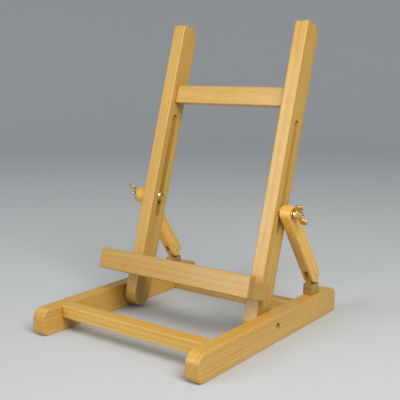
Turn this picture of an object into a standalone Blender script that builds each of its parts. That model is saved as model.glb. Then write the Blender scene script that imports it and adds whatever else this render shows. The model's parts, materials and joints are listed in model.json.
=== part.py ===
"""A folding wooden tablet stand: base frame, slotted uprights with a ledge, and clamped struts.

Metres, +Z up, front towards -Y. The origin is on the floor, under the middle of the base frame.
"""

from math import acos, atan2, ceil, cos, pi, radians, sin, sqrt, tan

import bmesh
import bpy
from mathutils import Vector

MM = 0.001

# Base frame
BASE_WIDTH = 169.0 * MM  # over the outer faces of the rails
RAIL_LENGTH = 204.5 * MM
RAIL_THICKNESS = 12.4 * MM
RAIL_HEIGHT = 21.9 * MM
RAIL_FRONT_TOP_RADIUS = 8.5 * MM
RAIL_FRONT_FOOT_RADIUS = 5.5 * MM
RAIL_REAR_TOP_RADIUS = 8.0 * MM
RAIL_REAR_FOOT_RADIUS = 2.0 * MM
CROSSBAR_DEPTH = 12.0 * MM
CROSSBAR_HEIGHT = 10.5 * MM
FRONT_BAR_SETBACK = 20.5 * MM  # from the rails' front ends to the bar
REAR_BAR_SETBACK = 22.5 * MM  # from the rails' rear ends to the bar

# Where the uprights and the struts turn, from the rails' front ends and from the floor
UPRIGHT_PIVOT_SETBACK = 104.6 * MM
UPRIGHT_PIVOT_HEIGHT = 13.1 * MM
STRUT_PIVOT_SETBACK = 173.1 * MM
STRUT_PIVOT_RISE = 16.9 * MM  # above the rails' top
LEAN = radians(17.3)  # of the uprights from vertical

# Uprights
UPRIGHT_THICKNESS = 12.3 * MM
UPRIGHT_DEPTH = 20.2 * MM
UPRIGHT_LENGTH = 249.0 * MM  # above the pivot
UPRIGHT_TOP_FRONT_RADIUS = 3.0 * MM
UPRIGHT_TOP_REAR_RADIUS = 9.0 * MM
SIDE_GAP = 2.3 * MM  # between a rail and an upright
SLOT_LOW = 71.0 * MM
SLOT_HIGH = 166.5 * MM
SLOT_WIDTH = 5.2 * MM
CROSS_RAIL_BASE = 177.0 * MM  # above the pivot
CROSS_RAIL_HEIGHT = 16.0 * MM
CROSS_RAIL_DEPTH = 9.0 * MM

# Ledge
LEDGE_OVERHANG = 7.7 * MM  # past the outer face of each upright
LEDGE_BASE = 18.1 * MM  # above the pivot
SHELF_THICKNESS = 14.0 * MM
SHELF_DEPTH = 24.0 * MM
LIP_THICKNESS = 8.0 * MM
LIP_RISE = 3.7 * MM  # above the shelf

# Struts and the posts they turn on
STRUT_THICKNESS = 9.5 * MM
STRUT_WIDTH = 13.2 * MM
STRUT_GAP = 1.8 * MM  # between an upright and a strut
FORK_GAP = 4.2 * MM
FORK_DEPTH = 10.5 * MM  # past the strut's pivot
POST_THICKNESS = 8.5 * MM
TONGUE_THICKNESS = 3.6 * MM
SHOULDER_CLEARANCE = 1.0 * MM
TENON_LENGTH = 11.0 * MM

# Fasteners, as radii and lengths
DOWEL_RADIUS = 2.5 * MM
DOWEL_IN_RAIL = 8.0 * MM
DOWEL_IN_BAR = 10.0 * MM
SCREW_RADIUS = 1.75 * MM
SCREW_HEAD_RADIUS = 2.6 * MM
SCREW_HEAD_HEIGHT = 2.4 * MM
PIVOT_COUNTERBORE_RADIUS = 2.9 * MM
PIVOT_COUNTERBORE_DEPTH = 5.6 * MM
PIVOT_SCREW_BITE = 9.5 * MM  # into the upright
LEDGE_SCREW_HEAD_RADIUS = 3.4 * MM
LEDGE_SCREW_BITE = 14.0 * MM  # into the shelf
STRUT_PIN_RADIUS = 1.3 * MM
BOLT_RADIUS = 2.0 * MM
BOLT_NECK_LENGTH = 3.6 * MM
BOLT_HEAD_RADIUS = 4.75 * MM
BOLT_HEAD_HEIGHT = 2.3 * MM
BOLT_END_PROUD = 1.2 * MM  # past the wing nut
WASHER_RADIUS = 4.9 * MM
NUT_WASHER_THICKNESS = 0.8 * MM
NUT_BOSS_RADIUS = 4.3 * MM
NUT_TOP_RADIUS = 3.1 * MM
NUT_HEIGHT = 5.6 * MM
WING_SPAN = 19.0 * MM
WING_RADIUS = 3.6 * MM
WING_THICKNESS = 1.9 * MM
WING_RISE = 6.2 * MM  # of a wing's centre above the nut's seat
WING_FIRST_ANGLE = radians(-55)  # where its round edge leaves the boss below
WING_SWEEP = radians(215)
NUT_TURN = radians(45)  # of the wings from the slot's length

# Clearances
SEAT_GAP = 0.3 * MM  # between faces that bear on each other
PIN_GAP = 0.2 * MM  # round a pin, dowel, screw or bolt
NECK_GAP = 0.4 * MM  # between the bolt's square neck and each side of the slot
MERGE = 0.001 * MM  # points closer than this are one
CUTTER_EDGE = 0.01 * MM
EDGE = 0.7 * MM  # eased edges of the wood
FINE_EDGE = 0.25 * MM

# Roundness
CORNER_STEP = radians(15)
ROUND_SIDES = 24

SIDES = {"left": -1, "right": 1}

# Worked out from the sizes above
FRONT = -RAIL_LENGTH / 2
RAIL_OUTER = BASE_WIDTH / 2
RAIL_INNER = RAIL_OUTER - RAIL_THICKNESS
UPRIGHT_OUTER = RAIL_INNER - SIDE_GAP
UPRIGHT_INNER = UPRIGHT_OUTER - UPRIGHT_THICKNESS
STRUT_INNER = UPRIGHT_OUTER + STRUT_GAP
STRUT_MIDDLE = STRUT_INNER + STRUT_THICKNESS / 2
STRUT_OUTER = STRUT_INNER + STRUT_THICKNESS
UPRIGHT_PIVOT = Vector((0, FRONT + UPRIGHT_PIVOT_SETBACK, UPRIGHT_PIVOT_HEIGHT))
STRUT_PIVOT = Vector((0, FRONT + STRUT_PIVOT_SETBACK, RAIL_HEIGHT + STRUT_PIVOT_RISE))
PIVOT_SPAN = (STRUT_PIVOT - UPRIGHT_PIVOT).length
STRUT_REACH = PIVOT_SPAN  # as long as the pivots are apart, so the bolt follows the slot
PIVOT_SLOPE = atan2(STRUT_PIVOT.z - UPRIGHT_PIVOT.z, STRUT_PIVOT.y - UPRIGHT_PIVOT.y)
UPRIGHT_SLOPE = pi / 2 - LEAN
BOLT_HEIGHT = 2 * STRUT_REACH * cos(UPRIGHT_SLOPE - PIVOT_SLOPE)  # up the slot
BOLT = UPRIGHT_PIVOT + BOLT_HEIGHT * Vector((0, sin(LEAN), cos(LEAN)))
STRUT_LEAN = atan2(STRUT_PIVOT.y - BOLT.y, BOLT.z - STRUT_PIVOT.z)
SHELF_BACK = -UPRIGHT_DEPTH / 2 - SEAT_GAP
SHELF_FRONT = -UPRIGHT_DEPTH / 2 - SHELF_DEPTH
LIP_BACK = SHELF_FRONT - SEAT_GAP
LIP_FRONT = SHELF_FRONT - LIP_THICKNESS
SHELF_TOP = LEDGE_BASE + SHELF_THICKNESS
SHELF_MIDDLE = LEDGE_BASE + SHELF_THICKNESS / 2
LEDGE_LENGTH = 2 * (UPRIGHT_OUTER + LEDGE_OVERHANG)
POST_RADIUS = STRUT_WIDTH / 2
SHOULDER_HEIGHT = STRUT_PIVOT.z - POST_RADIUS - SHOULDER_CLEARANCE
NUT_SEAT = STRUT_OUTER + NUT_WASHER_THICKNESS + 2 * SEAT_GAP
BOLT_END = NUT_SEAT + NUT_HEIGHT + BOLT_END_PROUD
BOLT_NECK = SLOT_WIDTH - 2 * NECK_GAP
PIVOT_HEAD_SEAT = RAIL_OUTER - PIVOT_COUNTERBORE_DEPTH


# Scene and materials


def clear_scene():
    for thing in list(bpy.data.objects):
        bpy.data.objects.remove(thing, do_unlink=True)


def new_collection(name):
    collection = bpy.data.collections.new(name)
    bpy.context.scene.collection.children.link(collection)
    return collection


def new_material(name, color, roughness, metallic=0.0):
    material = bpy.data.materials.new(name)
    material.use_nodes = True
    shader = material.node_tree.nodes["Principled BSDF"]
    shader.inputs["Base Color"].default_value = (*color, 1)
    shader.inputs["Roughness"].default_value = roughness
    shader.inputs["Metallic"].default_value = metallic
    return material


clear_scene()
STAND = new_collection("tablet_stand")
CUTTERS = new_collection("cutters")
WOOD = new_material("lacquered_pine", (0.60, 0.38, 0.13), 0.45)
DOWEL_WOOD = new_material("dowel_wood", (0.66, 0.48, 0.26), 0.6)
BRASS = new_material("brass", (0.80, 0.58, 0.24), 0.28, 1.0)
STEEL = new_material("zinc_steel", (0.62, 0.62, 0.60), 0.35, 1.0)


# Outlines


def arc(centre, radius, first, sweep):
    """Points on an arc about centre, from the angle first on through sweep."""
    steps = ceil(abs(sweep) / CORNER_STEP - 0.01)
    angles = [first + sweep * step / steps for step in range(steps + 1)]
    return [centre + radius * Vector((cos(angle), sin(angle))) for angle in angles]


def rounded(corners):
    """The outline through corners of (across, up, radius), each turned into an arc."""
    outline = []
    for index, (across, up, radius) in enumerate(corners):
        here = Vector((across, up))
        if not radius:
            outline.append(here)
            continue
        arriving = (here - Vector(corners[index - 1][:2])).normalized()
        leaving = (Vector(corners[(index + 1) % len(corners)][:2]) - here).normalized()
        turn = acos(max(-1, min(1, arriving.dot(leaving))))
        start = here - arriving * radius * tan(turn / 2)
        centre = start + Vector((-arriving.y, arriving.x)) * radius
        outline += arc(centre, radius, atan2(start.y - centre.y, start.x - centre.x), turn)
    return outline


def rectangle(left, right, low, high):
    return rounded([(left, low, 0), (right, low, 0), (right, high, 0), (left, high, 0)])


def bar_outline(width, low, high):
    """A bar with half-round ends centred on low and high."""
    foot = arc(Vector((0, low)), width / 2, pi, pi)
    return foot + arc(Vector((0, high)), width / 2, 0, pi)


def tongue_outline(width, low, high):
    """A bar with a square end at low and a half-round end centred on high."""
    foot = [Vector((-width / 2, low)), Vector((width / 2, low))]
    return foot + arc(Vector((0, high)), width / 2, 0, pi)


def shifted(outline, across):
    return [point + Vector((across, 0)) for point in outline]


# Solids. Each lies in its holder's frame, or in the world's without a holder


def finish_object(name, mesh, material, holder):
    mesh.materials.clear()
    mesh.materials.append(material)
    thing = bpy.data.objects.new(name, mesh)
    thing.parent = holder
    STAND.objects.link(thing)
    return thing


def weld(mesh):
    work = bmesh.new()
    work.from_mesh(mesh)
    bmesh.ops.remove_doubles(work, verts=work.verts, dist=MERGE)
    bmesh.ops.recalc_face_normals(work, faces=work.faces)
    work.to_mesh(mesh)
    work.free()


def plank_mesh(name, outline, thickness):
    """A flat outline, across then up, given a thickness along the drawing's own Z."""
    curve = bpy.data.curves.new(name + "_outline", "CURVE")
    curve.dimensions = "2D"
    curve.fill_mode = "BOTH"
    curve.extrude = thickness / 2
    spline = curve.splines.new("POLY")
    spline.points.add(len(outline) - 1)
    for point, place in zip(spline.points, outline):
        point.co = (place.x, place.y, 0, 1)
    spline.use_cyclic_u = True
    drawing = bpy.data.objects.new(name + "_outline", curve)
    STAND.objects.link(drawing)
    bpy.context.view_layer.update()
    graph = bpy.context.evaluated_depsgraph_get()
    mesh = bpy.data.meshes.new_from_object(drawing.evaluated_get(graph))
    mesh.name = name
    bpy.data.objects.remove(drawing)
    weld(mesh)
    return mesh


def plank(name, outline, low_x, high_x, material=WOOD, holder=None, edge=EDGE):
    """A plank whose outline lies in the Y-Z plane and whose thickness runs along X."""
    thing = finish_object(name, plank_mesh(name, outline, high_x - low_x), material, holder)
    thing.location.x = (low_x + high_x) / 2
    thing.rotation_euler = (pi / 2, 0, pi / 2)
    if edge:
        ease_edges(thing, edge)
    return thing


def ease_edges(thing, width):
    bevel = thing.modifiers.new("eased_edges", "BEVEL")
    bevel.width = width
    bevel.segments = 2
    bevel.limit_method = "ANGLE"
    bevel.angle_limit = radians(40)
    bevel.use_clamp_overlap = True


def turned(name, profile, material, holder=None, sides=ROUND_SIDES):
    """A solid turned about its Z from a profile of (radius, height), from the top down its outside."""
    mesh = bpy.data.meshes.new(name)
    work = bmesh.new()
    is_ring = profile[0] == profile[-1]
    points = [work.verts.new((radius, 0, height)) for radius, height in profile[is_ring:]]
    for upper, lower in zip(points, points[1:] + points[:is_ring]):
        work.edges.new((upper, lower))
    work.to_mesh(mesh)
    work.free()
    thing = finish_object(name, mesh, material, holder)
    screw = thing.modifiers.new("turned", "SCREW")
    screw.steps = sides
    screw.render_steps = sides
    screw.use_merge_vertices = True
    screw.merge_threshold = MERGE
    return thing


def lay_along_x(thing, side, place):
    """Turns a piece so that its Z points outwards on its side, and puts it in place."""
    thing.rotation_euler = (0, side * pi / 2, 0)
    thing.location = place


def rod(name, radius, low_x, high_x, place, material, holder=None, edge=FINE_EDGE):
    """A rod along X with chamfered ends, centred on place's Y and Z."""
    half = (high_x - low_x) / 2
    profile = [(0, half), (radius - edge, half), (radius, half - edge)]
    profile += [(radius, edge - half), (radius - edge, -half), (0, -half)]
    thing = turned(name, profile, material, holder)
    lay_along_x(thing, 1, ((low_x + high_x) / 2, place[0], place[1]))
    return thing


def washer(name, hole, radius, thickness, side, inner_x, place, material, holder=None):
    """A washer whose inner face stands at inner_x from the middle plane."""
    profile = [(hole, thickness), (radius - FINE_EDGE, thickness), (radius, thickness - FINE_EDGE)]
    profile += [(radius, FINE_EDGE), (radius - FINE_EDGE, 0), (hole, 0), (hole, thickness)]
    thing = turned(name, profile, material, holder)
    lay_along_x(thing, side, (side * inner_x, place[0], place[1]))
    return thing


# Cuts and joins


def hide_cutter(cutter):
    STAND.objects.unlink(cutter)
    CUTTERS.objects.link(cutter)
    cutter.hide_render = True
    cutter.display_type = "WIRE"


def combine(thing, other, operation):
    boolean = thing.modifiers.new(operation.lower() + "_" + other.name, "BOOLEAN")
    boolean.operation = operation
    boolean.object = other
    boolean.solver = "EXACT"
    hide_cutter(other)


def cut(thing, cutter):
    combine(thing, cutter, "DIFFERENCE")


def join(thing, other):
    combine(thing, other, "UNION")


def bore(thing, name, radius, low_x, high_x, place, holder=None):
    """A round hole along X through what lies between low_x and high_x."""
    low, high = sorted((low_x, high_x))
    cut(thing, rod(name + "_cutter", radius, low, high, place, WOOD, holder, edge=CUTTER_EDGE))


# Base frame


def make_rail(side_name, side):
    back = FRONT + RAIL_LENGTH
    corners = [
        (FRONT, 0, RAIL_FRONT_FOOT_RADIUS),
        (back, 0, RAIL_REAR_FOOT_RADIUS),
        (back, RAIL_HEIGHT, RAIL_REAR_TOP_RADIUS),
        (FRONT, RAIL_HEIGHT, RAIL_FRONT_TOP_RADIUS),
    ]
    low, high = sorted((side * RAIL_INNER, side * RAIL_OUTER))
    rail = plank("rail_" + side_name, rounded(corners), low, high)
    pivot = UPRIGHT_PIVOT.yz
    beyond = RAIL_THICKNESS
    shank = SCREW_RADIUS + PIN_GAP
    # The hole and its counterbore are one cutter, as two on one axis can leave a torn wall.
    profile = [
        (0, RAIL_OUTER + beyond),
        (PIVOT_COUNTERBORE_RADIUS, RAIL_OUTER + beyond),
        (PIVOT_COUNTERBORE_RADIUS, PIVOT_HEAD_SEAT),
        (shank, PIVOT_HEAD_SEAT),
        (shank, RAIL_INNER - beyond),
        (0, RAIL_INNER - beyond),
    ]
    stepped = turned(rail.name + "_pivot_cutter", profile, WOOD)
    lay_along_x(stepped, side, (0, pivot.x, pivot.y))
    cut(rail, stepped)
    for end, place in bar_centres().items():
        hole = (side * (RAIL_INNER - beyond), side * (RAIL_INNER + DOWEL_IN_RAIL + SEAT_GAP))
        bore(rail, f"{rail.name}_{end}_dowel", DOWEL_RADIUS + PIN_GAP, *hole, place)
    cut(rail, tenon_rod(side_name, side, PIN_GAP))
    return rail


def bar_centres():
    """The centre of each crossbar's section, as (y, z)."""
    front = FRONT + FRONT_BAR_SETBACK + CROSSBAR_DEPTH / 2
    rear = FRONT + RAIL_LENGTH - REAR_BAR_SETBACK - CROSSBAR_DEPTH / 2
    return {
        "front": (front, RAIL_HEIGHT - CROSSBAR_HEIGHT / 2),
        "rear": (rear, CROSSBAR_HEIGHT / 2),
    }


def make_crossbar(end):
    y, z = bar_centres()[end]
    half_depth = CROSSBAR_DEPTH / 2
    half_height = CROSSBAR_HEIGHT / 2
    outline = rectangle(y - half_depth, y + half_depth, z - half_height, z + half_height)
    reach = RAIL_INNER - SEAT_GAP
    bar = plank(end + "_crossbar", outline, -reach, reach)
    for side_name, side in SIDES.items():
        hole = (side * (reach + RAIL_THICKNESS), side * (RAIL_INNER - DOWEL_IN_BAR - SEAT_GAP))
        bore(bar, f"{bar.name}_{side_name}_dowel", DOWEL_RADIUS + PIN_GAP, *hole, (y, z))
        inner = RAIL_INNER - DOWEL_IN_BAR
        outer = RAIL_INNER + DOWEL_IN_RAIL
        low, high = sorted((side * inner, side * outer))
        rod(f"{end}_dowel_{side_name}", DOWEL_RADIUS, low, high, (y, z), DOWEL_WOOD)
    return bar


def tenon_rod(side_name, side, extra):
    """The round tenon under a post, or with extra clearance the hole that takes it."""
    radius = DOWEL_RADIUS + extra
    top = (RAIL_HEIGHT + SHOULDER_HEIGHT) / 2
    bottom = RAIL_HEIGHT - TENON_LENGTH - (SEAT_GAP if extra else 0)
    name = "tenon_hole_" if extra else "tenon_"
    profile = [(0, top), (radius, top), (radius, bottom), (0, bottom)]
    tenon = turned(name + side_name, profile, WOOD)
    tenon.location = (side * STRUT_MIDDLE, STRUT_PIVOT.y, 0)
    return tenon


def make_foot_post(side_name, side):
    """A block on the rail with a tongue for the strut's fork and a round tenon below."""
    y = STRUT_PIVOT.y
    middle = side * STRUT_MIDDLE
    half = POST_THICKNESS / 2
    base = RAIL_HEIGHT + SEAT_GAP
    block = rectangle(y - POST_RADIUS, y + POST_RADIUS, base, SHOULDER_HEIGHT)
    post = plank("foot_post_" + side_name, block, middle - half, middle + half, edge=FINE_EDGE)
    root = (base + SHOULDER_HEIGHT) / 2
    tongue = shifted(tongue_outline(STRUT_WIDTH - 2 * SEAT_GAP, root, STRUT_PIVOT.z), y)
    half = TONGUE_THICKNESS / 2
    join(post, plank("tongue_" + side_name, tongue, middle - half, middle + half, edge=0))
    join(post, tenon_rod(side_name, side, 0))
    hole = (middle - POST_THICKNESS, middle + POST_THICKNESS)
    bore(post, post.name + "_pin", STRUT_PIN_RADIUS + PIN_GAP, *hole, STRUT_PIVOT.yz)


def make_pivot_washer(side_name, side):
    hole = SCREW_RADIUS + PIN_GAP
    thickness = SIDE_GAP - 2 * SEAT_GAP
    inner = UPRIGHT_OUTER + SEAT_GAP
    name = "pivot_washer_" + side_name
    washer(name, hole, WASHER_RADIUS, thickness, side, inner, UPRIGHT_PIVOT.yz, STEEL)


# Easel, drawn in the uprights' own frame: Y is their depth and Z their length from the pivot


def make_upright(side_name, side, easel):
    half = UPRIGHT_DEPTH / 2
    corners = [
        (half, 0, 0),
        (half, UPRIGHT_LENGTH, UPRIGHT_TOP_REAR_RADIUS),
        (-half, UPRIGHT_LENGTH, UPRIGHT_TOP_FRONT_RADIUS),
        (-half, 0, 0),
    ]
    foot = arc(Vector((0, 0)), half, pi, pi)[1:-1]
    low, high = sorted((side * UPRIGHT_INNER, side * UPRIGHT_OUTER))
    upright = plank("upright_" + side_name, rounded(corners) + foot, low, high, holder=easel)
    slot_outline = bar_outline(SLOT_WIDTH, SLOT_LOW + SLOT_WIDTH / 2, SLOT_HIGH - SLOT_WIDTH / 2)
    beyond = UPRIGHT_THICKNESS
    name = "slot_cutter_" + side_name
    slot = plank(name, slot_outline, low - beyond, high + beyond, holder=easel, edge=0)
    cut(upright, slot)
    outside = side * (UPRIGHT_OUTER + beyond)
    pivot_end = side * (UPRIGHT_OUTER - PIVOT_SCREW_BITE - SEAT_GAP)
    bore(upright, upright.name + "_pivot", SCREW_RADIUS + PIN_GAP, outside, pivot_end, (0, 0), easel)
    inside = side * (UPRIGHT_INNER - beyond)
    dowel_end = side * (UPRIGHT_INNER + DOWEL_IN_RAIL + SEAT_GAP)
    place = (0, CROSS_RAIL_BASE + CROSS_RAIL_HEIGHT / 2)
    bore(upright, upright.name + "_dowel", DOWEL_RADIUS + PIN_GAP, inside, dowel_end, place, easel)
    cut(upright, ledge_screw("screw_hole_" + side_name, side, easel, PIN_GAP))


def ledge_screw(name, side, easel, extra=0.0):
    """A countersunk screw from behind an upright into the shelf, or the hole that clears it."""
    shank = SCREW_RADIUS + extra
    head = LEDGE_SCREW_HEAD_RADIUS + extra
    top = UPRIGHT_DEPTH / 2 - SEAT_GAP
    rim = top - 2 * FINE_EDGE
    neck = rim - (LEDGE_SCREW_HEAD_RADIUS - SCREW_RADIUS)
    bottom = SHELF_BACK - LEDGE_SCREW_BITE
    if extra:
        profile = [(0, UPRIGHT_DEPTH), (head, UPRIGHT_DEPTH), (head, rim), (shank, neck)]
        profile += [(shank, bottom - SEAT_GAP), (0, bottom - SEAT_GAP)]
    else:
        profile = [(0, top), (head - FINE_EDGE, top), (head, top - FINE_EDGE), (head, rim)]
        profile += [(shank, neck), (shank, bottom + 2 * shank), (0, bottom)]
    screw = turned(name, profile, STEEL, easel)
    screw.rotation_euler = (-pi / 2, 0, 0)
    screw.location = (side * (UPRIGHT_INNER + UPRIGHT_OUTER) / 2, 0, SHELF_MIDDLE)
    return screw


def make_ledge(easel):
    half = LEDGE_LENGTH / 2
    outline = rectangle(SHELF_FRONT, SHELF_BACK, LEDGE_BASE, SHELF_TOP)
    shelf = plank("ledge_shelf", outline, -half, half, holder=easel, edge=FINE_EDGE)
    for side_name, side in SIDES.items():
        cut(shelf, ledge_screw("shelf_hole_" + side_name, side, easel, PIN_GAP))
        ledge_screw("ledge_screw_" + side_name, side, easel)
    lip = rectangle(LIP_FRONT, LIP_BACK, LEDGE_BASE, SHELF_TOP + LIP_RISE)
    plank("ledge_lip", lip, -half, half, holder=easel)


def make_upper_cross_rail(easel):
    half_depth = CROSS_RAIL_DEPTH / 2
    top = CROSS_RAIL_BASE + CROSS_RAIL_HEIGHT
    outline = rectangle(-half_depth, half_depth, CROSS_RAIL_BASE, top)
    reach = UPRIGHT_INNER - SEAT_GAP
    cross_rail = plank("upper_cross_rail", outline, -reach, reach, holder=easel)
    place = (0, CROSS_RAIL_BASE + CROSS_RAIL_HEIGHT / 2)
    for side_name, side in SIDES.items():
        inner = UPRIGHT_INNER - DOWEL_IN_BAR
        hole = (side * UPRIGHT_OUTER, side * (inner - SEAT_GAP))
        name = f"{cross_rail.name}_{side_name}_dowel"
        bore(cross_rail, name, DOWEL_RADIUS + PIN_GAP, *hole, place, easel)
        low, high = sorted((side * inner, side * (UPRIGHT_INNER + DOWEL_IN_RAIL)))
        rod("cross_rail_dowel_" + side_name, DOWEL_RADIUS, low, high, place, DOWEL_WOOD, easel)


def make_pivot_screw(side_name, side, easel):
    """The screw an upright turns on: its head lies deep in the rail's counterbore."""
    bite_end = UPRIGHT_OUTER - PIVOT_SCREW_BITE
    seat = PIVOT_HEAD_SEAT + SEAT_GAP
    top = seat + SCREW_HEAD_HEIGHT
    profile = [(0, top), (SCREW_HEAD_RADIUS - FINE_EDGE, top), (SCREW_HEAD_RADIUS, top - FINE_EDGE)]
    profile += [(SCREW_HEAD_RADIUS, seat), (SCREW_RADIUS, seat)]
    profile += [(SCREW_RADIUS, bite_end + SCREW_RADIUS), (0, bite_end)]
    screw = turned("pivot_screw_" + side_name, profile, STEEL, easel)
    lay_along_x(screw, side, (0, 0, 0))


# Struts, drawn in their own frame: Z runs from the lower pivot to the bolt


def make_strut(side_name, side, holder):
    low, high = sorted((side * STRUT_INNER, side * STRUT_OUTER))
    outline = bar_outline(STRUT_WIDTH, 0, STRUT_REACH)
    strut = plank("strut_" + side_name, outline, low, high, holder=holder)
    middle = side * STRUT_MIDDLE
    fork = rectangle(-STRUT_WIDTH, STRUT_WIDTH, -STRUT_WIDTH, FORK_DEPTH)
    half = FORK_GAP / 2
    name = "fork_cutter_" + side_name
    cut(strut, plank(name, fork, middle - half, middle + half, holder=holder, edge=0))
    beyond = STRUT_THICKNESS
    through = (low - beyond, high + beyond)
    bore(strut, strut.name + "_bolt", BOLT_RADIUS + PIN_GAP, *through, (0, STRUT_REACH), holder)
    bore(strut, strut.name + "_pin", STRUT_PIN_RADIUS + PIN_GAP, *through, (0, 0), holder)
    rod("strut_pin_" + side_name, STRUT_PIN_RADIUS, low, high, (0, 0), STEEL, holder)
    hole = BOLT_RADIUS + PIN_GAP
    bolt_place = (0, STRUT_REACH)
    thickness = STRUT_GAP - 2 * SEAT_GAP
    inner = UPRIGHT_OUTER + SEAT_GAP
    name = "strut_washer_" + side_name
    washer(name, hole, WASHER_RADIUS, thickness, side, inner, bolt_place, BRASS, holder)
    outer = STRUT_OUTER + SEAT_GAP
    name = "nut_washer_" + side_name
    washer(name, hole, WASHER_RADIUS, NUT_WASHER_THICKNESS, side, outer, bolt_place, BRASS, holder)


# Clamps, drawn in the bolt's own frame: its axis is X, and Z runs up the slot


def make_clamp_bolt(side_name, side, holder):
    seat = UPRIGHT_INNER - SEAT_GAP
    crown = seat - BOLT_HEAD_HEIGHT
    profile = [(0, BOLT_END), (BOLT_RADIUS - 2 * FINE_EDGE, BOLT_END)]
    profile += [(BOLT_RADIUS, BOLT_END - 2 * FINE_EDGE), (BOLT_RADIUS, seat)]
    profile += [(BOLT_HEAD_RADIUS, seat)]
    sphere = (BOLT_HEAD_RADIUS**2 + BOLT_HEAD_HEIGHT**2) / (2 * BOLT_HEAD_HEIGHT)
    steps = 5
    for step in range(1, steps + 1):
        radius = BOLT_HEAD_RADIUS * (1 - step / steps)
        profile.append((radius, crown + sphere - sqrt(sphere**2 - radius**2)))
    bolt = turned("clamp_bolt_" + side_name, profile, BRASS, holder)
    lay_along_x(bolt, side, (0, 0, 0))
    half = BOLT_NECK / 2
    neck = rectangle(-half, half, -half, half)
    low, high = sorted((side * (seat - SEAT_GAP), side * (seat + BOLT_NECK_LENGTH)))
    join(bolt, plank("neck_" + side_name, neck, low, high, BRASS, holder, edge=FINE_EDGE))


def make_wing_nut(side_name, side, holder):
    """A boss with two flat wings that flare outwards. Its seat is at its own origin."""
    hole = BOLT_RADIUS + PIN_GAP
    flange = NUT_HEIGHT / 4
    profile = [(hole, NUT_HEIGHT), (NUT_TOP_RADIUS - FINE_EDGE, NUT_HEIGHT)]
    profile += [(NUT_TOP_RADIUS, NUT_HEIGHT - FINE_EDGE), (NUT_BOSS_RADIUS, flange)]
    profile += [(NUT_BOSS_RADIUS, FINE_EDGE), (NUT_BOSS_RADIUS - FINE_EDGE, 0)]
    profile += [(hole, 0), (hole, NUT_HEIGHT)]
    nut = turned("wing_nut_" + side_name, profile, BRASS, holder)
    lay_along_x(nut, side, (side * NUT_SEAT, 0, 0))
    nut.rotation_euler.rotate_axis("Z", side * NUT_TURN)
    for number in range(2):
        mesh = plank_mesh(f"wing_{side_name}_{number}", wing_outline(flange), WING_THICKNESS)
        wing = finish_object(mesh.name, mesh, BRASS, nut)
        wing.rotation_euler = (pi / 2, 0, number * pi)
        ease_edges(wing, 2 * FINE_EDGE)
        join(nut, wing)


def wing_outline(flange):
    """A round wing at the +X side, drawn in to the boss."""
    root = BOLT_RADIUS + PIN_GAP + 2 * FINE_EDGE
    tip = Vector((WING_SPAN / 2 - WING_RADIUS, WING_RISE))
    foot = [Vector((root, NUT_HEIGHT - 2 * FINE_EDGE)), Vector((root, flange))]
    return foot + arc(tip, WING_RADIUS, WING_FIRST_ANGLE, WING_SWEEP)


# Assembly


def holder_at(name, place, angle=0.0):
    """An empty on a joint's axis, turned about X."""
    holder = bpy.data.objects.new(name, None)
    holder.empty_display_size = 10 * MM
    holder.location = place
    holder.rotation_euler = (angle, 0, 0)
    STAND.objects.link(holder)
    return holder


def build_base():
    for side_name, side in SIDES.items():
        make_rail(side_name, side)
        make_foot_post(side_name, side)
        make_pivot_washer(side_name, side)
    make_crossbar("front")
    make_crossbar("rear")


def build_easel():
    easel = holder_at("easel_pivot", UPRIGHT_PIVOT, -LEAN)
    for side_name, side in SIDES.items():
        make_upright(side_name, side, easel)
        make_pivot_screw(side_name, side, easel)
    make_ledge(easel)
    make_upper_cross_rail(easel)


def build_struts():
    for side_name, side in SIDES.items():
        strut_pivot = holder_at("strut_pivot_" + side_name, STRUT_PIVOT, STRUT_LEAN)
        make_strut(side_name, side, strut_pivot)
        bolt_axis = holder_at("bolt_axis_" + side_name, BOLT, -LEAN)
        make_clamp_bolt(side_name, side, bolt_axis)
        make_wing_nut(side_name, side, bolt_axis)


def smooth_round_pieces():
    for thing in STAND.objects:
        if thing.type == "MESH":
            thing.data.shade_smooth()
            thing.data.set_sharp_from_angle(angle=radians(35))


build_base()
build_easel()
build_struts()
smooth_round_pieces()
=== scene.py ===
# %% [markdown]
# # A folding wooden tablet stand
#
# The stand is a small easel: a flat base frame, two slotted uprights that carry a lipped ledge,
# and two struts that wing nuts clamp to the slots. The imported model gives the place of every
# piece and of every joint. This lesson remakes the pieces as a joiner and a metal turner would
# leave them, with eased edges, drilled holes, a cut thread and lacquered grain. All the lengths
# are in metres, so a size in millimetres is written as a number times MM.

import json
from math import asin, atan2, cos, degrees, pi, radians, sin

import bmesh
import bpy
from mathutils import Matrix, Vector


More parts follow.
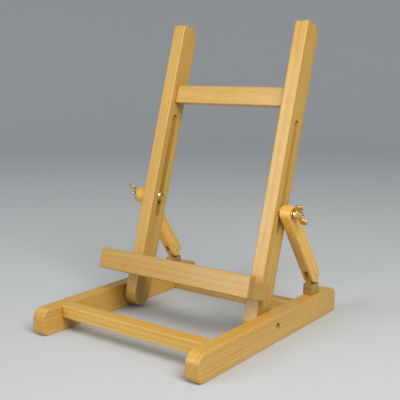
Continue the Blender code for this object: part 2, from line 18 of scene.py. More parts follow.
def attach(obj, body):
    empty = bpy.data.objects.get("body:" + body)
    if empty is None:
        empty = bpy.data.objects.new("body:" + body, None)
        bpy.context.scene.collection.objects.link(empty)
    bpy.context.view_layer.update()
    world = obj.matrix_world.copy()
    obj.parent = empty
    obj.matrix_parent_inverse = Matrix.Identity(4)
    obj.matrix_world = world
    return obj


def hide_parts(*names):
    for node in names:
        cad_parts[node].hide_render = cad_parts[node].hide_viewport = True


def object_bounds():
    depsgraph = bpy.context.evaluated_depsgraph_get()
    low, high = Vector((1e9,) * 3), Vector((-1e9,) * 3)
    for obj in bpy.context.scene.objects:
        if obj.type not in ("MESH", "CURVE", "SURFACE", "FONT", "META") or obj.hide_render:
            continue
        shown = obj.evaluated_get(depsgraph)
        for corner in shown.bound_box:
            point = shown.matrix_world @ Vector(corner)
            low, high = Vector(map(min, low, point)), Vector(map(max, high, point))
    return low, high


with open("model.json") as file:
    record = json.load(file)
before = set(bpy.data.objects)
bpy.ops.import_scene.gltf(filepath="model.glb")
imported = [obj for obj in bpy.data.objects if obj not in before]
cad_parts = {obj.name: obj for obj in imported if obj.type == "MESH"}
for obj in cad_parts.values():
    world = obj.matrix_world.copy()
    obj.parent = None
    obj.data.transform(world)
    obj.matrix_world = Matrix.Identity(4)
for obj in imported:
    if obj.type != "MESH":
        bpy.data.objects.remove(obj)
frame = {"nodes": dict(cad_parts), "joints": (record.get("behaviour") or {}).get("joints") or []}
cad_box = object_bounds()
MM = 0.001

# %% [markdown]
# ## Where things turn
#
# The uprights lean back and the struts lean forward to meet them. A leaning piece could be built
# where it stands, but then no face of it would be square to an axis and each one would be hard
# to choose. So it is modelled upright, in a frame of its own whose Z runs along it, and leaned
# at the end. The frames come from three joints: the easel's pivot, the strut's and the bolt's.

# %% The leaning frames
joints = {joint["name"]: joint for joint in frame["joints"]}


def on_middle_plane(joint_name):
    place = Vector(joints[joint_name]["pos_m"])
    return Vector((0, place.y, place.z))


def lean_between(low, high):
    """How far back from vertical the line from low to high leans."""
    return atan2(high.y - low.y, high.z - low.z)


def leaning_frame(origin, lean):
    return Matrix.Translation(origin) @ Matrix.Rotation(-lean, 4, "X")


easel_pivot = on_middle_plane("easel_lean")
strut_pivot = on_middle_plane("strut_right_swing")
bolt_axis = on_middle_plane("clamp_right_turn")
easel_lean = lean_between(easel_pivot, bolt_axis)
strut_lean = lean_between(strut_pivot, bolt_axis)
WORLD = Matrix.Identity(4)
EASEL = leaning_frame(easel_pivot, easel_lean)
STRUT = leaning_frame(strut_pivot, strut_lean)
CLAMP = leaning_frame(bolt_axis, easel_lean)
print("uprights lean", round(degrees(easel_lean), 1), "degrees, struts", round(degrees(strut_lean), 1))


# %% Measuring a node along a leaning frame
def node_box(node, holder=WORLD):
    """A node's lowest and highest corners, measured along a frame's own axes."""
    points = [holder.inverted() @ vertex.co for vertex in frame["nodes"][node].data.vertices]
    low = Vector([min(point[axis] for point in points) for axis in range(3)])
    high = Vector([max(point[axis] for point in points) for axis in range(3)])
    return low, high


def in_mm(vector):
    return [round(value / MM, 1) for value in vector]


upright_low, upright_high = node_box("upright_right", EASEL)
print("an upright is", in_mm(upright_high - upright_low), "mm")

# %% [markdown]
# ## Working by hand, in code
#
# In the window a face is chosen with a click. Here the click becomes a test on where the face is
# and which way it looks, which also keeps working when a size changes. These helpers hold one
# piece at a time, choose its points, edges or faces, and set a modifier and apply it at once.

# %% Holding a piece and choosing on it
def let_go():
    bpy.ops.object.select_all(action="DESELECT")


def hold_only(piece):
    """Makes one object the selected and active one."""
    let_go()
    piece.select_set(True)
    bpy.context.view_layer.objects.active = piece


def choose(piece, kind, wanted):
    """In edit mode, selects the verts, edges or faces for which wanted() is true."""
    modes = {"verts": "VERT", "edges": "EDGE", "faces": "FACE"}
    bpy.ops.mesh.select_mode(type=modes[kind])
    bpy.ops.mesh.select_all(action="DESELECT")
    mesh = bmesh.from_edit_mesh(piece.data)
    mesh.normal_update()
    for element in getattr(mesh, kind):
        if wanted(element):
            element.select_set(True)
    bmesh.update_edit_mesh(piece.data)


def middle(element):
    """The centre of an edge or a face."""
    points = [vertex.co for vertex in element.verts]
    return sum(points, Vector()) / len(points)


def near(value, target, within=0.02 * MM):
    return abs(value - target) < within


# %% Editing, modifiers and making a piece's place its own
def edit(piece):
    hold_only(piece)
    bpy.ops.object.mode_set(mode="EDIT")
    bpy.ops.mesh.select_all(action="SELECT")


def leave_edit():
    bpy.ops.object.mode_set(mode="OBJECT")


def apply_modifier(piece, kind, **settings):
    hold_only(piece)
    modifier = piece.modifiers.new(kind.lower(), kind)
    for setting, value in settings.items():
        setattr(modifier, setting, value)
    bpy.ops.object.modifier_apply(modifier=modifier.name)


def settle(piece, name=None):
    """Applies a piece's place, turn and size to its mesh, and names it."""
    if name:
        piece.name = piece.data.name = name
    hold_only(piece)
    bpy.ops.object.transform_apply(location=True, rotation=True, scale=True)
    return piece


# %% [markdown]
# ## Blocks, rods and cutters
#
# Timber starts as a block at its sawn size. A hole is drilled by a cylinder that a Boolean takes
# away, and a slot by the same cylinder with its upper half moved up, as a router bit leaves it.
# The cylinder is turned by half a side first, so that no point lies on the line between its
# halves and the stretched sides come out straight.

# %% Starting shapes
def add_block(name, low, high):
    let_go()
    bpy.ops.mesh.primitive_cube_add(size=1, location=(Vector(high) + Vector(low)) / 2)
    bpy.context.object.scale = Vector(high) - Vector(low)
    return settle(bpy.context.object, name)


def add_rod(name, radius, low_x, high_x, y=0.0, z=0.0, sides=32):
    """A cylinder along X through y and z."""
    let_go()
    bpy.ops.mesh.primitive_cylinder_add(vertices=sides, radius=radius, depth=high_x - low_x)
    rod = bpy.context.object
    rod.rotation_euler = (0, 0, pi / sides)
    settle(rod, name)
    rod.rotation_euler = (0, pi / 2, 0)
    rod.location = ((low_x + high_x) / 2, y, z)
    return settle(rod)


def add_round_bar(name, width, low_x, high_x, low, high, sides=48):
    """A flat bar along Z with half-round ends centred on the heights low and high."""
    bar = add_rod(name, width / 2, low_x, high_x, z=low, sides=sides)
    edit(bar)
    choose(bar, "verts", lambda vertex: vertex.co.z > low)
    bpy.ops.transform.translate(value=(0, 0, high - low))
    leave_edit()
    return bar


# %% Cutting, joining and drilling
def combine(piece, other, operation):
    """Cuts with another solid, or joins it, and throws it away."""
    apply_modifier(piece, "BOOLEAN", object=other, operation=operation, solver="EXACT")
    bpy.data.objects.remove(other, do_unlink=True)


def cut(piece, cutter):
    combine(piece, cutter, "DIFFERENCE")


def join(piece, other):
    combine(piece, other, "UNION")


def drill(piece, radius, low_x, high_x, y=0.0, z=0.0):
    """A round hole along X."""
    cut(piece, add_rod("drill", radius, low_x, high_x, y, z, sides=24))


# %% [markdown]
# ## Eased edges
#
# Sanded timber has no sharp edge anywhere, and lacquer shows a rounded edge as a bright line. It
# could be a bump in the material, but then the outline would stay razor sharp. So a Bevel rounds
# the long edges before drilling, and a second and finer one breaks the rims of the new holes,
# which by then are all that still turns sharply. Weighted normals keep the wide faces flat.

# %% Easing the edges
EASED = 1.0 * MM
RIM = 0.3 * MM
RIM_ANGLE = 55  # degrees: sharper than any edge that has been eased


def ease(piece, width=EASED, segments=3, sharper_than=40):
    apply_modifier(
        piece, "BEVEL", width=width, segments=segments, limit_method="ANGLE",
        angle_limit=radians(sharper_than), use_clamp_overlap=True,
    )


def smooth_off(piece, holder):
    """Smooths the shading, and leans the piece from its own frame into the stand."""
    hold_only(piece)
    bpy.ops.object.shade_smooth_by_angle(angle=radians(32))
    apply_modifier(piece, "WEIGHTED_NORMAL", keep_sharp=True, weight=80)
    piece.matrix_world = holder
    settle(piece)
    let_go()


# %% [markdown]
# ## Left and right
#
# Nearly every piece comes as a pair. It is modelled once, on the right, and copied. A mirrored
# copy fits any piece that has no screw thread; its faces come out turned inwards, so they are
# recalculated. A threaded piece is turned round instead, because a mirror would cut its thread
# left-handed.

# %% Copying a piece to the left
def copy_across(piece, name, turned=False):
    hold_only(piece)
    bpy.ops.object.duplicate()
    twin = bpy.context.object
    if turned:
        twin.rotation_euler = (0, 0, pi)
    else:
        twin.scale = (-1, 1, 1)
    settle(twin, name)
    edit(twin)
    bpy.ops.mesh.normals_make_consistent(inside=False)
    leave_edit()
    return twin


# %% [markdown]
# ## Lacquered pine
#
# Pine is a solid pattern: rings round the heart of the tree, drawn out along the grain. A flat
# picture of wood would break at every corner, while rings in space meet there by themselves, and
# show arcs on the sawn ends. The Wave texture makes rings round its own Z, so a Mapping turns
# each piece's grain onto Z and puts the heart a few centimetres outside it. A second Mapping
# squeezes Z, which draws the noise out along the grain and leaves the rings as they are.

# %% Short names for wiring nodes
class Wiring:
    """Adds nodes to one node tree, linked to the sockets that they are given."""

    def __init__(self, owner):
        self.tree = owner.node_tree

    def fill(self, socket, value):
        if isinstance(value, bpy.types.NodeSocket):
            self.tree.links.new(value, socket)
        else:
            socket.default_value = value

    def add(self, kind, inputs=None, **settings):
        node = self.tree.nodes.new("ShaderNode" + kind)
        for setting, value in settings.items():
            setattr(node, setting, value)
        for socket, value in (inputs or {}).items():
            self.fill(node.inputs[socket], value)
        return node

    def moved(self, vector, turn=(0, 0, 0), shift=(0, 0, 0), scale=(1, 1, 1)):
        inputs = {"Vector": vector, "Rotation": turn, "Location": shift, "Scale": scale}
        return self.add("Mapping", inputs).outputs["Vector"]

    def noise(self, vector, scale, detail=3.0, roughness=0.55):
        inputs = {"Vector": vector, "Scale": scale, "Detail": detail, "Roughness": roughness}
        return self.add("TexNoise", inputs).outputs["Fac"]

    def span(self, value, low, high, to_low=0.0, to_high=1.0):
        """A value taken from one range into another, without going past its ends."""
        inputs = {"Value": value, "From Min": low, "From Max": high}
        return self.add("MapRange", inputs | {"To Min": to_low, "To Max": to_high}).outputs["Result"]

    def maths(self, operation, first, second=0.0):
        return self.add("Math", {0: first, 1: second}, operation=operation).outputs["Value"]

    def mixed(self, factor, first, second, kind="MIX"):
        """Two colours mixed, or multiplied, by a factor."""
        node = self.add("Mix", data_type="RGBA", blend_type=kind)
        self.fill(node.inputs[0], factor)
        for socket, color in ((6, first), (7, second)):
            is_link = isinstance(color, bpy.types.NodeSocket)
            self.fill(node.inputs[socket], color if is_link else (*color, 1))
        return node.outputs[2]


def new_material(name):
    """A material, its shader's sockets, its wiring and its Object coordinates."""
    material = bpy.data.materials.new(name)
    material.use_nodes = True
    wiring = Wiring(material)
    place = wiring.add("TexCoord").outputs["Object"]
    return material, material.node_tree.nodes["Principled BSDF"].inputs, wiring, place


# %% The colours and the scale of the grain
PALE = (0.66, 0.405, 0.088)
HONEY = (0.58, 0.325, 0.055)
LATE_WOOD = (0.46, 0.225, 0.026)
END_GRAIN = (0.84, 0.79, 0.68)  # sawn ends drink more lacquer and go darker and greyer
RING = 3.1 * MM  # one year's growth
RING_SCALE = 2 * pi / 20 / RING  # the Wave texture's own measure of one ring
ALONG_GRAIN = 0.05  # how far the noise is drawn out
HEART_AWAY = 34 * MM  # from the middle of a piece to the heart of the tree
UP = Vector((0, 0, 1))
boards = []  # the pieces cut so far, so that no two show the same grain
print("rings at scale", round(RING_SCALE, 1))


# %% Rings, streaks and fibre
def pine_color(wiring, drawn_out, rings, facing, tone):
    """Pale wood with honey clouds, darker late wood in streaks, fine fibre and sawn ends."""
    clouds = wiring.span(wiring.noise(drawn_out, 75.0, 2.0), 0.3, 0.7)
    streaks = wiring.span(wiring.noise(drawn_out, 420.0, 3.0, 0.6), 0.3, 0.7, 0.10, 0.72)
    late = wiring.maths("MULTIPLY", wiring.span(rings, 0.30, 1.0), streaks)
    color = wiring.mixed(late, wiring.mixed(clouds, PALE, HONEY), LATE_WOOD)
    fibre = wiring.span(wiring.noise(drawn_out, 2600.0, 4.0, 0.65), 0.25, 0.7)
    darker = wiring.mixed(1.0, color, [0.80 * tone] * 3, "MULTIPLY")
    lighter = wiring.mixed(1.0, color, [1.10 * tone] * 3, "MULTIPLY")
    color = wiring.mixed(fibre, darker, lighter)
    sawn = wiring.span(wiring.maths("ABSOLUTE", facing), 0.55, 0.95)
    return wiring.mixed(sawn, color, wiring.mixed(1.0, color, END_GRAIN, "MULTIPLY"))


def pine(piece, direction, tone):
    """Lacquered pine with its grain along a direction; the tone factor darkens or lightens the board, as
    its own tone on most pieces, as painted shade on the hinge posts and as painted light on the struts.
    """
    boards.append(piece.name)
    number = len(boards)
    turn = direction.rotation_difference(UP)
    centre = sum((Vector(corner) for corner in piece.bound_box), Vector()) / 8
    heart = HEART_AWAY * Vector((cos(2.4 * number), sin(2.4 * number), 0)) + 0.31 * number * UP
    material, shader, wiring, place = new_material("pine_" + piece.name)
    on_grain = wiring.moved(place, turn=turn.to_euler(), shift=heart - turn @ centre)
    drawn_out = wiring.moved(on_grain, scale=(1, 1, ALONG_GRAIN))
    wave = {"Vector": drawn_out, "Scale": RING_SCALE, "Distortion": 8.0}
    wave |= {"Detail": 3.0, "Detail Scale": 0.45, "Detail Roughness": 0.5}
    rings = wiring.add(
        "TexWave", wave, wave_type="RINGS", rings_direction="Z", wave_profile="SAW"
    ).outputs["Fac"]
    normal = wiring.add("TexCoord").outputs["Normal"]
    facing = wiring.add("VectorMath", {0: normal, 1: direction}, operation="DOT_PRODUCT")
    color = pine_color(wiring, drawn_out, rings, facing.outputs["Value"], tone)
    wiring.fill(shader["Base Color"], color)
    lacquer_over(wiring, shader, on_grain, drawn_out, rings)
    return material


# %% [markdown]
# ## The lacquer
#
# Lacquer is a thin clear coat over the open grain. It is glossier than the wood under it, and it
# is rubbed duller in patches by hands. The coat's numbers are the same all over, so they are set
# on the shader's own sockets; only the roughness of the wood and the bump vary.

# %% A coat over the grain
def lacquer_over(wiring, shader, on_grain, drawn_out, rings):
    rubbed = wiring.span(wiring.noise(on_grain, 160.0, 3.0), 0.3, 0.7, 0.34, 0.50)
    wiring.fill(shader["Roughness"], rubbed)
    fibre = wiring.maths("MULTIPLY", wiring.noise(drawn_out, 2600.0, 4.0, 0.65), 0.35)
    height = wiring.maths("ADD", fibre, wiring.maths("MULTIPLY", rings, 0.5))
    bump = wiring.add("Bump", {"Height": height, "Strength": 0.25, "Distance": 0.12 * MM})
    wiring.fill(shader["Normal"], bump.outputs["Normal"])
    shader["Coat Weight"].default_value = 0.28
    shader["Coat Roughness"].default_value = 0.20


# %% [markdown]
# ## Brass and zinc
#
# The wing nuts, washers and bolts are brass, bright where they were tumbled and duller where
# fingers turn them. What stays inside the wood is zinc-plated steel. Metal has no colour pattern
# to speak of, so its detail is in a clouded roughness and in a very fine grit of bump.

# %% The two metals
METALS = {
    # fresh colour, worn colour, then the roughness where polished and where dull
    "brass": ((0.83, 0.60, 0.23), (0.66, 0.42, 0.13), 0.20, 0.40),
    "zinc_steel": ((0.66, 0.66, 0.64), (0.50, 0.49, 0.46), 0.28, 0.48),
}


def metal(slot, name):
    fresh, worn, polished, dull = METALS[slot]
    material, shader, wiring, place = new_material(slot + "_" + name)
    cloud = wiring.noise(place, 450.0, 4.0, 0.6)
    wiring.fill(shader["Base Color"], wiring.mixed(wiring.span(cloud, 0.35, 0.7), fresh, worn))
    wiring.fill(shader["Roughness"], wiring.span(cloud, 0.3, 0.75, polished, dull))
    grit = wiring.noise(place, 5200.0, 2.0, 0.5)
    bump = wiring.add("Bump", {"Height": grit, "Strength": 0.12, "Distance": 0.03 * MM})
    wiring.fill(shader["Normal"], bump.outputs["Normal"])
    shader["Metallic"].default_value = 1.0
    return material


# %% [markdown]
# ## Finishing a piece
#
# A piece has to know three things: which body it moves with, which finish it has, and which
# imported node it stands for. A pair gets all three from one line, with {} where the side's name
# goes, so that left and right can't come to differ.

# %% Finishing one piece, or a pair
def finish(piece, body, slot, node, holder=WORLD, grain=UP, tone=1.0):
    smooth_off(piece, holder)
    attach(piece, body)
    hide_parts(node)
    direction = holder.to_3x3() @ Vector(grain)
    material = pine(piece, direction, tone) if slot == "lacquered_wood" else metal(slot, piece.name)
    piece.data.materials.clear()
    piece.data.materials.append(material)
    print(piece.name, len(piece.data.polygons), "faces,", in_mm(piece.dimensions), "mm")


def finish_pair(right, name, body, slot, node, turned=False, **how):
    """Copies a right-hand piece to the left and finishes both."""
    right.name = right.data.name = name + "_right"
    left = copy_across(right, name + "_left", turned)
    for side, piece in (("right", right), ("left", left)):
        finish(piece, body.format(side), slot, node.format(side), **how)


# %% [markdown]
# ## The side rails
#
# Two rails lie on the table and carry everything. On the real stand their ends are rounded on a
# sander, more at the top than at the foot. The outline could be drawn and extruded, but to round
# the edge of a block is simply a bevel whose width is the radius, so that is what is done, one
# edge at a time. The screw that each upright turns on lies deep in a hole in the outer face.

# %% Rounding an end of a bar
LONG_X = Vector((1, 0, 0))


def round_edge(piece, y, z, radius, segments=9):
    """Rounds the edge of a block that runs along X through y and z."""
    edit(piece)
    choose(
        piece, "edges",
        lambda edge: near(middle(edge).y, y) and near(middle(edge).z, z)
        and abs((edge.verts[1].co - edge.verts[0].co).normalized().dot(LONG_X)) > 0.99,
    )
    bpy.ops.mesh.bevel(offset=radius, segments=segments, affect="EDGES")
    leave_edit()


# %% The rail, with its hole for the pivot screw
PIVOT_HOLE = 2.8 * MM
PIVOT_HOLE_DEPTH = 5.5 * MM
rail_low, rail_high = node_box("rail_right")
rail = add_block("rail", rail_low, rail_high)
round_edge(rail, rail_low.y, rail_high.z, 8.5 * MM)
round_edge(rail, rail_low.y, rail_low.z, 5.5 * MM)
round_edge(rail, rail_high.y, rail_high.z, 8.0 * MM)
round_edge(rail, rail_high.y, rail_low.z, 2.0 * MM)
ease(rail)
hole_bottom = rail_high.x - PIVOT_HOLE_DEPTH
drill(rail, PIVOT_HOLE, hole_bottom, rail_high.x + PIVOT_HOLE, easel_pivot.y, easel_pivot.z)
ease(rail, RIM, 2, RIM_ANGLE)
finish_pair(rail, "side_rail", "base", "lacquered_wood", "rail_{}", grain=(0, 1, 0))

# %% [markdown]
# ## The crossbars
#
# Two bars are glued between the rails on hidden dowels, the front one flush with the rails' top
# and the rear one at their foot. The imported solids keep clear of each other, while glued joints
# look closed, so each bar is drawn out until only a hair's breadth is left. The bars are alike,
# so the rear one is a copy of the front one, moved.

# %% One bar and its copy
HAIR = 0.04 * MM
front_low, front_high = node_box("front_crossbar")
rear_low, rear_high = node_box("rear_crossbar")
bar_end = rail_low.x - HAIR
front_bar = add_block("front_bar", (-bar_end, *front_low.yz), (bar_end, *front_high.yz))
ease(front_bar, 0.9 * MM)
hold_only(front_bar)
bpy.ops.object.duplicate()
rear_bar = bpy.context.object
rear_bar.location = (rear_low + rear_high - front_low - front_high) / 2
settle(rear_bar, "rear_bar")
finish(front_bar, "base", "lacquered_wood", "front_crossbar", grain=LONG_X, tone=1.02)
finish(rear_bar, "base", "lacquered_wood", "rear_crossbar", grain=LONG_X, tone=0.95)

# %% [markdown]
# ## The hinge posts
#
# A small block stands on each rail. Its upper half is sawn down to a tongue with a round top,
# the strut's fork straddles the tongue, and a pin goes through all three. The tongue is a
# round-ended bar whose lower end is cut off inside the block, and the two are joined, because a
# union gives the shoulder a clean line without any drawing.

# %% The block and its tongue
POST_THICKNESS = 8.5 * MM
TONGUE_THICKNESS = 3.6 * MM
PIN_RADIUS = 1.3 * MM
SHOULDER_BELOW_PIN = 7.6 * MM
strut_low, strut_high = node_box("strut_right", STRUT)
strut_middle = (strut_low.x + strut_high.x) / 2
post_low, post_high = node_box("foot_post_right")
shoulder = strut_pivot.z - SHOULDER_BELOW_PIN
half = POST_THICKNESS / 2
post = add_block(
    "post",
    (strut_middle - half, post_low.y, rail_high.z + HAIR),
    (strut_middle + half, post_high.y, shoulder),
)
ease(post, 0.5 * MM, 2)
tongue_width = post_high.y - post_low.y - 0.6 * MM
half = TONGUE_THICKNESS / 2
tongue = add_round_bar(
    "tongue", tongue_width, strut_middle - half, strut_middle + half, -tongue_width, 0, sides=40
)
tongue.location = strut_pivot
settle(tongue)
edit(tongue)
root = (0, 0, (rail_high.z + shoulder) / 2)
bpy.ops.mesh.bisect(plane_co=root, plane_no=(0, 0, -1), use_fill=True, clear_outer=True)
leave_edit()
join(post, tongue)
far = POST_THICKNESS
drill(post, PIN_RADIUS + 0.1 * MM, strut_middle - far, strut_middle + far, *strut_pivot.yz)
ease(post, 0.15 * MM, 2, RIM_ANGLE)
# The hinge posts' tone of 0.62 is painted shade: their wood is darkened to stand in for the shade they sit
# in under the struts.
finish_pair(post, "hinge_post", "base", "lacquered_wood", "foot_post_{}", tone=0.62)

# %% [markdown]
# ## The uprights
#
# The foot of an upright is a true half round about the pivot, so that it can turn close to the
# table. The upper end is sawn square, with its front corner rounded a little and its rear corner
# generously. Drawing a disc out into a bar gives the foot; a bisect then saws the other end off.
# A router cuts the slot for the bolt, and a countersunk hole comes in from behind.

# %% The blank: drawn out, sawn off and rounded
TOP_FRONT = 3.0 * MM
TOP_REAR = 9.0 * MM
depth = upright_high.y - upright_low.y
top = upright_high.z
upright = add_round_bar(
    "upright", depth, upright_low.x, upright_high.x, 0, top + depth, sides=64
)
edit(upright)
bpy.ops.mesh.bisect(plane_co=(0, 0, top), plane_no=(0, 0, 1), use_fill=True, clear_outer=True)
leave_edit()
round_edge(upright, upright_low.y, top, TOP_FRONT)
round_edge(upright, upright_high.y, top, TOP_REAR)
ease(upright)
print("the blank stands", round(top / MM, 1), "mm above its pivot")

# %% The slot and the countersunk hole
SLOT_LOW = 71.0 * MM
SLOT_HIGH = 166.5 * MM
SLOT_WIDTH = 5.2 * MM
SINK = 4.0 * MM  # across and deep, so its side slopes at 45 degrees
slot = add_round_bar(
    "slot", SLOT_WIDTH, upright_low.x - depth, upright_high.x + depth,
    SLOT_LOW + SLOT_WIDTH / 2, SLOT_HIGH - SLOT_WIDTH / 2, sides=32,
)
cut(upright, slot)
shelf_low, shelf_high = node_box("ledge_shelf", EASEL)
upright_middle = (upright_low.x + upright_high.x) / 2
shelf_middle = (shelf_low.z + shelf_high.z) / 2
let_go()
bpy.ops.mesh.primitive_cone_add(vertices=32, radius1=0.2 * MM, radius2=SINK, depth=SINK)
cone = bpy.context.object
cone.rotation_euler = (-pi / 2, 0, 0)
cone.location = (upright_middle, upright_high.y + 0.2 * MM - SINK / 2, shelf_middle)
cut(upright, settle(cone, "sink"))
ease(upright, RIM, 2, RIM_ANGLE)
finish_pair(
    upright, "slotted_upright", "easel", "lacquered_wood", "upright_{}", holder=EASEL, tone=0.88
)

# %% [markdown]
# ## The ledge
#
# The tablet stands on a shelf that is screwed to the fronts of the uprights, with a taller lip
# glued along its front edge. Both are plain planed strips, so each is a block with eased edges.
# The lip's edges are eased the most, because hands and the tablet's glass touch them.

# %% The shelf and the lip
shelf_high.y = upright_low.y - HAIR
shelf = add_block("shelf_board", shelf_low, shelf_high)
ease(shelf, 0.5 * MM)
finish(shelf, "easel", "lacquered_wood", "ledge_shelf", EASEL, LONG_X, 0.94)

lip_low, lip_high = node_box("ledge_lip", EASEL)
lip_high.y = shelf_low.y - HAIR
lip = add_block("lip_board", lip_low, lip_high)
ease(lip, 1.1 * MM)
finish(lip, "easel", "lacquered_wood", "ledge_lip", EASEL, LONG_X, 0.78)
print("the lip rises", round((lip_high.z - shelf_high.z) / MM, 1), "mm above the shelf")

# %% [markdown]
# ## The tie between the uprights
#
# One bar keeps the uprights parallel above the slots. It is set between them on dowels like the
# base's crossbars, so it is made in the same way, in the easel's leaning frame.

# %% The tie bar
tie_low, tie_high = node_box("upper_cross_rail", EASEL)
tie_end = upright_low.x - HAIR
tie = add_block("tie_bar", (-tie_end, *tie_low.yz), (tie_end, *tie_high.yz))
ease(tie, 0.9 * MM)
finish(tie, "easel", "lacquered_wood", "upper_cross_rail", EASEL, LONG_X, 0.92)

# %% [markdown]
# ## The struts
#
# A strut props each upright. It is a flat bar with two half-round ends, because both ends turn.
# The lower end is slit by a saw into a fork that straddles the post's tongue. The slit and the
# holes are cut after the edges are eased, as in a workshop, so their own edges stay crisper.

# %% The bar, its fork and its holes
FORK_GAP = 4.2 * MM
FORK_DEPTH = 10.5 * MM
BOLT_RADIUS = 2.0 * MM
reach = (bolt_axis - strut_pivot).length
width = strut_high.y - strut_low.y
strut = add_round_bar("strut", width, strut_low.x, strut_high.x, 0, reach)
ease(strut, 0.9 * MM)
half = FORK_GAP / 2
kerf = add_block(
    "kerf", (strut_middle - half, -width, -width), (strut_middle + half, width, FORK_DEPTH)
)
cut(strut, kerf)
drill(strut, BOLT_RADIUS + 0.2 * MM, strut_low.x - width, strut_high.x + width, 0, reach)
drill(strut, PIN_RADIUS + 0.05 * MM, strut_low.x - width, strut_high.x + width)
ease(strut, 0.2 * MM, 2, RIM_ANGLE)
# The struts' tone of 1.34 is painted light: their wood is lightened to stand in for the light on their
# outer faces.
finish_pair(strut, "prop", "strut_{}", "lacquered_wood", "strut_{}", holder=STRUT, tone=1.34)
print("from pin to bolt is", round(reach / MM, 1), "mm")

# %% [markdown]
# ## Washers
#
# A washer is punched from sheet: a disc with a hole, its edges slightly rounded by the punch. A
# Boolean would do, but the hole is as easily opened by hand: inset both faces of a disc by the
# width of the ring, and bridge the two inner faces.

# %% Pressing the washers
def add_washer(low, high, hole):
    """A washer that fills a box from low to high."""
    radius = (high.z - low.z) / 2
    y, z = (low + high).yz / 2
    disc = add_rod("disc", radius, low.x, high.x, y, z, sides=40)
    edit(disc)
    choose(disc, "faces", lambda face: abs(face.normal.x) > 0.9)
    bpy.ops.mesh.inset(thickness=radius - hole, use_individual=True)
    choose(disc, "faces", lambda face: abs(face.normal.x) > 0.9 and len(face.verts) > 4)
    bpy.ops.mesh.bridge_edge_loops()
    leave_edit()
    ease(disc, 0.18 * MM, 2, 50)
    return disc


WASHERS = {
    "pivot_washer_{}": ("base", "zinc_steel", WORLD),
    "strut_washer_{}": ("strut_{}", "brass", STRUT),
    "nut_washer_{}": ("strut_{}", "brass", STRUT),
}
for node, (body, slot_name, holder) in WASHERS.items():
    ring = add_washer(*node_box(node.format("right"), holder), BOLT_RADIUS + 0.15 * MM)
    finish_pair(ring, "flat_" + node[:-3], body, slot_name, node, holder=holder)

# %% [markdown]
# ## The clamp bolts
#
# Each bolt has a domed head that bears on the upright, a square neck that slides in the slot and
# so can't turn there, and a thread. Rings would pass for a thread from afar, but its end shows
# in the wing nut, so it is a real helix: the outline of one tooth, drawn round and up by a Screw
# modifier, then sawn flat at both ends.

# %% Cutting the thread
THREAD_PITCH = 0.7 * MM
THREAD_DEPTH = 0.32 * MM
CREST = 0.16  # the tooth's flat top, as a share of the pitch


def add_thread(radius, low_z, high_z):
    """A threaded rod along Z, sawn flat at both ends."""
    let_go()
    bpy.ops.mesh.primitive_plane_add(size=1)
    tooth = bpy.context.object
    tooth.scale = (THREAD_DEPTH, THREAD_PITCH, 1)
    tooth.rotation_euler = (pi / 2, 0, 0)
    tooth.location = (radius - THREAD_DEPTH / 2, 0, low_z - THREAD_PITCH / 2)
    settle(tooth, "thread")
    edit(tooth)
    choose(tooth, "edges", lambda edge: near(middle(edge).x, radius - THREAD_DEPTH))
    bpy.ops.mesh.delete(type="EDGE")
    choose(tooth, "verts", lambda vertex: near(vertex.co.x, radius))
    bpy.ops.transform.resize(value=(1, 1, CREST))
    leave_edit()
    turns = int((high_z - low_z) / THREAD_PITCH) + 3
    apply_modifier(
        tooth, "SCREW", steps=24, render_steps=24, screw_offset=THREAD_PITCH, iterations=turns
    )
    edit(tooth)
    bpy.ops.mesh.remove_doubles(threshold=0.001 * MM)
    for height, outwards in ((low_z, (0, 0, -1)), (high_z, (0, 0, 1))):
        bpy.ops.mesh.select_all(action="SELECT")
        bpy.ops.mesh.bisect(
            plane_co=(0, 0, height), plane_no=outwards, use_fill=True, clear_outer=True
        )
    bpy.ops.mesh.select_all(action="SELECT")
    bpy.ops.mesh.normals_make_consistent(inside=False)
    leave_edit()
    return tooth


# %% The domed head
def add_domed_head(radius, height, seat):
    """A dome below the height seat: the end of a sphere, closed by its flat."""
    sphere = (radius**2 + height**2) / (2 * height)
    let_go()
    bpy.ops.mesh.primitive_uv_sphere_add(segments=40, ring_count=60, radius=sphere)
    head = bpy.context.object
    head.location = (0, 0, seat - height + sphere)
    settle(head, "bolt")
    edit(head)
    bpy.ops.mesh.bisect(plane_co=(0, 0, seat), plane_no=(0, 0, 1), use_fill=True, clear_outer=True)
    leave_edit()
    print("the head spans", round(2 * degrees(asin(radius / sphere))), "degrees of a sphere")
    return head


def lay_outwards(piece):
    """Turns a piece drawn up Z so that it points along X."""
    piece.rotation_euler = (0, pi / 2, 0)
    settle(piece)


# %% Head, neck, shank and thread
HEAD_RADIUS = 4.7 * MM
HEAD_HEIGHT = 2.3 * MM
NECK = 4.3 * MM
NECK_LENGTH = 3.6 * MM
THREAD_LENGTH = 16.0 * MM
OVERLAP = 0.4 * MM  # so that two solids to be joined share some space
bolt_low, bolt_high = node_box("clamp_bolt_right", CLAMP)
bolt_seat = bolt_low.x + HEAD_HEIGHT
thread_start = bolt_high.x - THREAD_LENGTH
bolt = add_domed_head(HEAD_RADIUS, HEAD_HEIGHT, bolt_seat)
ease(bolt, 0.25 * MM, 2, 40)
half = NECK / 2
neck = add_block("neck", (-half, -half, bolt_seat - OVERLAP), (half, half, bolt_seat + NECK_LENGTH))
ease(neck, 0.3 * MM, 2)
join(bolt, neck)
shank_length = thread_start + OVERLAP - bolt_seat
let_go()
bpy.ops.mesh.primitive_cylinder_add(
    vertices=24, radius=BOLT_RADIUS - THREAD_DEPTH / 2, depth=shank_length,
    location=(0, 0, bolt_seat + shank_length / 2),
)
join(bolt, settle(bpy.context.object, "shank"))
join(bolt, add_thread(BOLT_RADIUS, thread_start, bolt_high.x))
lay_outwards(bolt)
finish_pair(
    bolt, "slot_bolt", "clamp_{}", "brass", "clamp_bolt_{}", turned=True, holder=CLAMP
)

